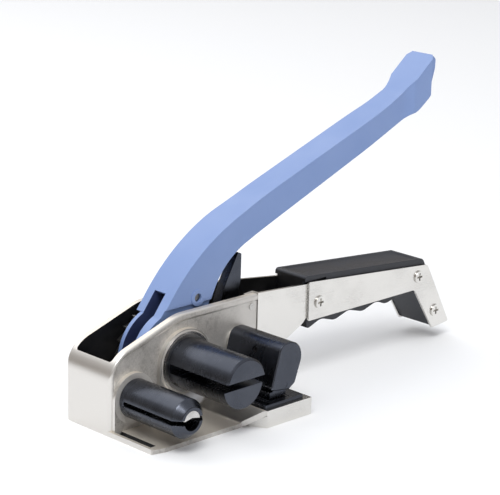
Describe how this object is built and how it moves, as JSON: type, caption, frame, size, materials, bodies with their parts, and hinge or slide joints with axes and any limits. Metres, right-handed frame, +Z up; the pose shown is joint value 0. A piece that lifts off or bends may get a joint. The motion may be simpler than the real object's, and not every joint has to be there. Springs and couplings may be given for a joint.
{
  "type": "strapping tensioner tool",
  "caption": "Hand strapping tensioner: slotted windlass wound by a ratchet pull lever, with a slotted front pin, a cam gripper on a foot and a rear hand grip.",
  "frame": {"origin": "on the underside of the base, straight below the windlass axis, in the plane of the strap-side wall face", "axes": "+X from the nose to the rear grip, +Y from the strap side to the far side, +Z up; the strap side is -Y"},
  "size_m": [0.2649, 0.0895, 0.1716],
  "materials": {
    "nickel_casting": "satin nickel plated casting, mottled on the side faces",
    "nickel_plate": "bright nickel plated sheet and bar",
    "bare_steel": "turned and ground steel",
    "black_oxide": "black oxide steel with a soft oiled sheen",
    "blue_paint": "light blue powder coat",
    "grip_rubber": "matt black moulded rubber",
    "bearing_bronze": "oiled sintered bronze",
    "spring_steel": "drawn spring wire"
  },
  "bodies": {
    "frame": {"frame_housing": "nickel_casting", "foot_block": "nickel_plate", "foot_screws": "bare_steel", "grip_plate": "black_oxide", "grip_plate_screws": "black_oxide", "front_pin": "black_oxide", "cutter_insert": "bare_steel", "front_pin_washer": "bare_steel", "front_pin_nut": "bare_steel", "near_windlass_bush": "nickel_plate", "far_bearing_outer_ring": "bare_steel", "far_bearing_balls": "bare_steel", "holding_pawl_pin": "nickel_plate", "holding_pawl_spring": "spring_steel", "gripper_bushes": "nickel_plate", "gripper_spring": "spring_steel", "rear_channel": "nickel_plate", "channel_rivets": "nickel_plate", "grip_core": "grip_rubber", "near_grip_plate": "nickel_plate", "far_grip_plate": "nickel_plate", "grip_screws": "nickel_plate", "grip_nuts": "nickel_plate"},
    "windlass": {"windlass_shaft": "black_oxide", "windlass_key": "bare_steel", "ratchet_wheel": "bare_steel", "windlass_retaining_ring": "spring_steel", "far_bearing_inner_ring": "bare_steel", "windlass_end_washer": "nickel_plate", "windlass_end_screw": "black_oxide"},
    "lever": {"lever_handle": "blue_paint", "lever_bushes": "bearing_bronze", "drive_pawl_pin": "bare_steel", "drive_pawl_clip": "spring_steel", "drive_pawl_spring": "spring_steel"},
    "drive_pawl": {"drive_pawl": "black_oxide"},
    "holding_pawl": {"holding_pawl": "black_oxide"},
    "gripper": {"gripper_cam": "black_oxide", "gripper_set_screw": "black_oxide", "gripper_jaw": "black_oxide", "gripper_jaw_pin": "black_oxide", "gripper_shaft": "black_oxide", "gripper_shaft_clip": "spring_steel", "gripper_thumb_lever": "black_oxide", "thumb_lever_pin": "spring_steel"}
  },
  "joints": [
    {"name": "windlass_spin", "type": "hinge", "parent": "frame", "child": "windlass", "pos_m": [0, 0, 0.0304], "axis": [0, 1, 0], "continuous": true},
    {"name": "lever_swing", "type": "hinge", "parent": "frame", "child": "lever", "pos_m": [0, 0.017, 0.0304], "axis": [0, 1, 0], "range_deg": [-70, 15]},
    {"name": "drive_pawl_pivot", "type": "hinge", "parent": "lever", "child": "drive_pawl", "pos_m": [0.0158, 0.0275, 0.0611], "axis": [0, 1, 0], "range_deg": [-12, 0], "stiffness_Nm_per_rad": 0.02, "springref_deg": 22.92},
    {"name": "holding_pawl_pivot", "type": "hinge", "parent": "frame", "child": "holding_pawl", "pos_m": [-0.0277, 0.0275, 0.0082], "axis": [0, 1, 0], "range_deg": [-12, 0], "stiffness_Nm_per_rad": 0.02, "springref_deg": 22.92},
    {"name": "gripper_pivot", "type": "hinge", "parent": "frame", "child": "gripper", "pos_m": [0.0397, 0, 0.0333], "axis": [0, 1, 0], "range_deg": [0, 25], "stiffness_Nm_per_rad": 0.4, "springref_deg": -28.65}
  ]
}
